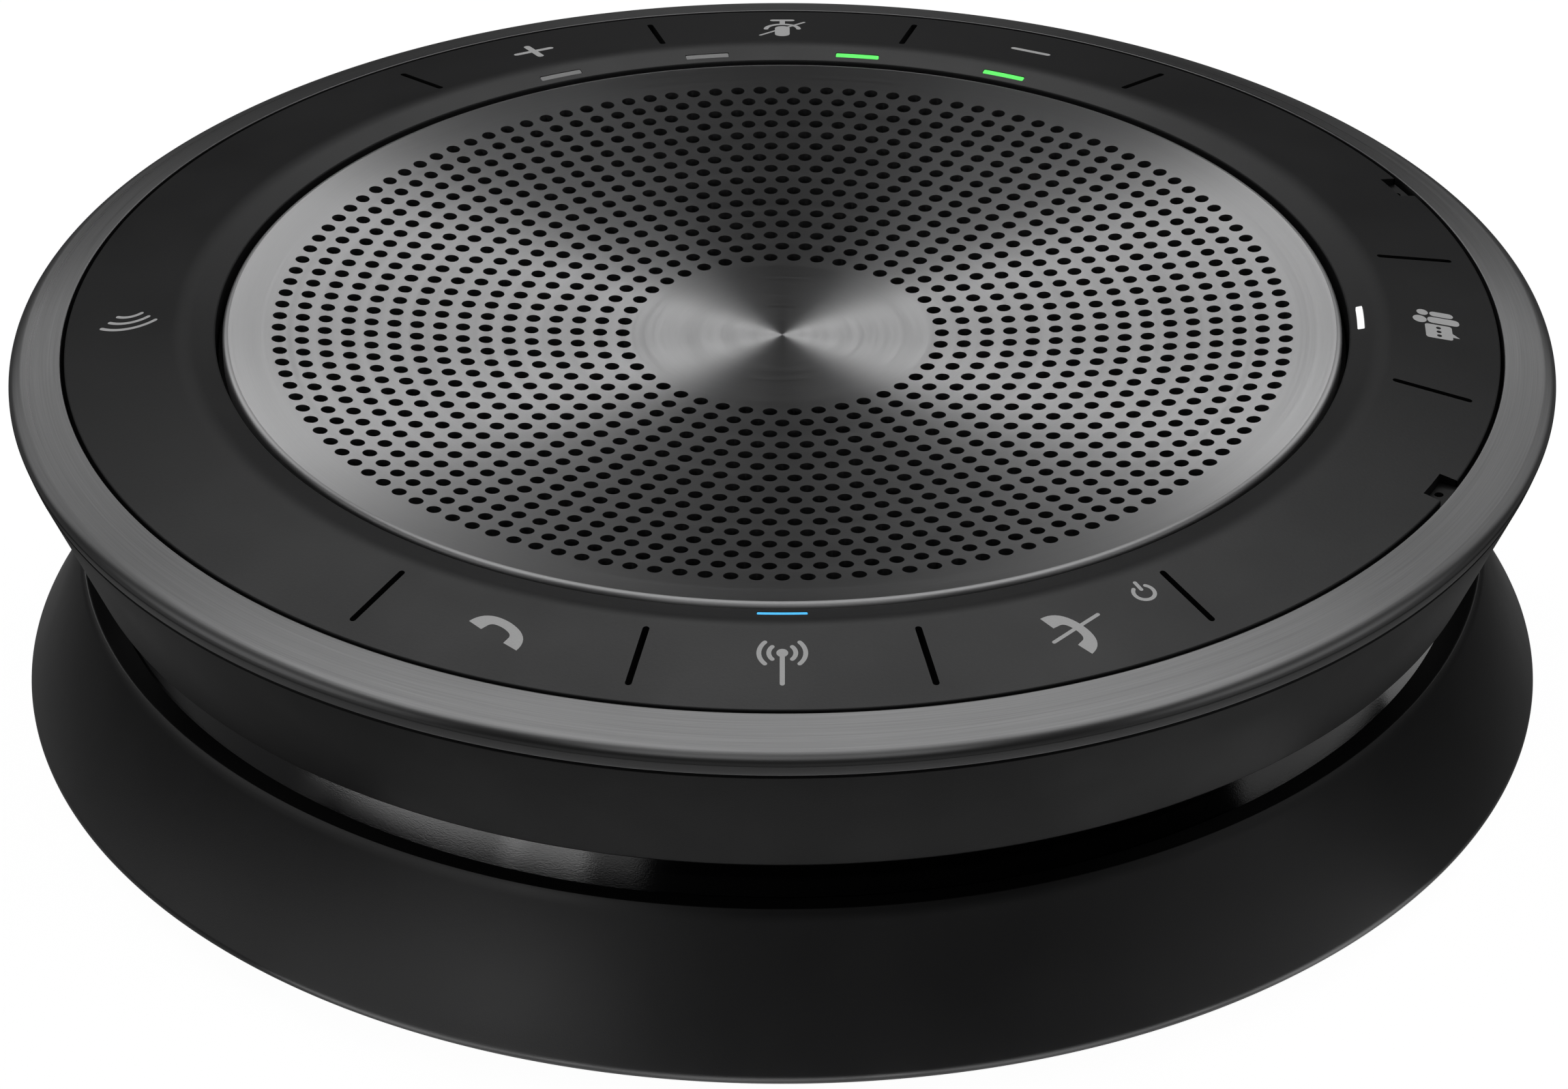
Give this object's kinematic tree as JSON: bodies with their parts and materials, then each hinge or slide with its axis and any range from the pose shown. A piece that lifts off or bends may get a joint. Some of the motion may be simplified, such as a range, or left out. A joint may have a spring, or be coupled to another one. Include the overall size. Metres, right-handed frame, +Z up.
{
  "type": "conference speakerphone",
  "caption": "Round table-top conference speakerphone with a perforated metal speaker grille, a ring of touch keys with status lights, a brushed rim and a flared base.",
  "frame": {"origin": "centre of the foot ring's contact face on the table", "axes": "+Z up, -Y towards the user, +X to the user's right"},
  "size_m": [0.1198, 0.1198, 0.0329],
  "materials": {
    "brushed_grille": "brushed in circles, satin",
    "brushed_rim": "brushed round the rim",
    "keypad_skin": "soft touch, very fine grain",
    "body_plastic": "matte, fine spark texture",
    "waist_plastic": "satin",
    "skirt_plastic": "soft matte",
    "inner_plastic": "moulded",
    "foot_rubber": "matte",
    "cable_jacket": "satin",
    "plug_metal": "plain",
    "cloth": "fine woven",
    "blue_window": "lit, diffuse",
    "white_window": "lit, diffuse",
    "green_window": "lit, diffuse",
    "unlit_window": "unlit, diffuse",
    "led_package": "clear coated",
    "board_green": "solder mask",
    "gold_contact": "plain",
    "chip_black": "moulded",
    "tin_can": "tinned",
    "capacitor_sleeve": "sleeve",
    "socket_plastic": "moulded",
    "basket_steel": "pressed, painted",
    "motor_steel": "plated",
    "magnet_nickel": "nickel plated",
    "coil_copper": "wound wire",
    "cone_paper": "pressed",
    "surround_rubber": "matte",
    "spider_cloth": "treated cloth",
    "foam": "closed cell",
    "battery_wrap": "wrapped cell",
    "wire_red": "insulated wire",
    "flex_film": "film",
    "screw_steel": "zinc plated",
    "label_film": "printed film left blank"
  },
  "bodies": {
    "housing": {"grille": "brushed_grille", "grille_cloth": "cloth", "keypad_ring": "keypad_skin", "rim_ring": "brushed_rim", "body_shell": "body_plastic", "waist_drum": "waist_plastic", "base_skirt": "skirt_plastic", "base_plate": "inner_plastic", "foot_ring": "foot_rubber", "cable": "cable_jacket", "cable_grommet": "foot_rubber", "plug_body": "cable_jacket", "plug_shell": "plug_metal", "front_light_guide": "blue_window", "side_light_guide": "white_window", "rear_lit_guides": "green_window", "rear_unlit_guides": "unlit_window", "status_leds": "led_package", "key_board": "board_green", "key_switches": "gold_contact", "key_board_screws": "screw_steel", "top_frame": "inner_plastic", "microphones": "tin_can", "microphone_boots": "foot_rubber", "speaker_basket": "basket_steel", "speaker_cup": "motor_steel", "speaker_magnet": "magnet_nickel", "pole_plate": "motor_steel", "speaker_surround": "surround_rubber", "speaker_spider": "spider_cloth", "speaker_gasket": "foam", "speaker_screws": "screw_steel", "main_board": "board_green", "board_chips": "chip_black", "shield_cans": "tin_can", "board_capacitors": "capacitor_sleeve", "board_connectors": "socket_plastic", "board_screws": "screw_steel", "battery": "battery_wrap", "battery_pad": "foam", "battery_leads": "wire_red", "speaker_leads": "wire_red", "key_flex": "flex_film", "body_screws": "screw_steel", "base_screws": "screw_steel", "frame_screws": "screw_steel", "rating_label": "label_film"},
    "cone_assembly": {"speaker_cone": "cone_paper", "voice_coil": "coil_copper", "dust_cap": "cone_paper"},
    "answer_key": {"answer_key": "keypad_skin"},
    "wireless_key": {"wireless_key": "keypad_skin"},
    "end_key": {"end_key": "keypad_skin"},
    "assistant_key": {"assistant_key": "keypad_skin"},
    "volume_down_key": {"volume_down_key": "keypad_skin"},
    "mute_key": {"mute_key": "keypad_skin"},
    "volume_up_key": {"volume_up_key": "keypad_skin"}
  },
  "joints": [
    {"name": "answer_key_press", "type": "slide", "parent": "housing", "child": "answer_key", "axis": [0, 0, -1], "range_m": [0, 0.0005]},
    {"name": "wireless_key_press", "type": "slide", "parent": "housing", "child": "wireless_key", "axis": [0, 0, -1], "range_m": [0, 0.0005]},
    {"name": "end_key_press", "type": "slide", "parent": "housing", "child": "end_key", "axis": [0, 0, -1], "range_m": [0, 0.0005]},
    {"name": "assistant_key_press", "type": "slide", "parent": "housing", "child": "assistant_key", "axis": [0, 0, -1], "range_m": [0, 0.0005]},
    {"name": "volume_down_key_press", "type": "slide", "parent": "housing", "child": "volume_down_key", "axis": [0, 0, -1], "range_m": [0, 0.0005]},
    {"name": "mute_key_press", "type": "slide", "parent": "housing", "child": "mute_key", "axis": [0, 0, -1], "range_m": [0, 0.0005]},
    {"name": "volume_up_key_press", "type": "slide", "parent": "housing", "child": "volume_up_key", "axis": [0, 0, -1], "range_m": [0, 0.0005]},
    {"name": "cone_stroke", "type": "slide", "parent": "housing", "child": "cone_assembly", "axis": [0, 0, 1], "range_m": [-0.001, 0.001], "deforming": ["speaker_surround", "speaker_spider"]}
  ]
}
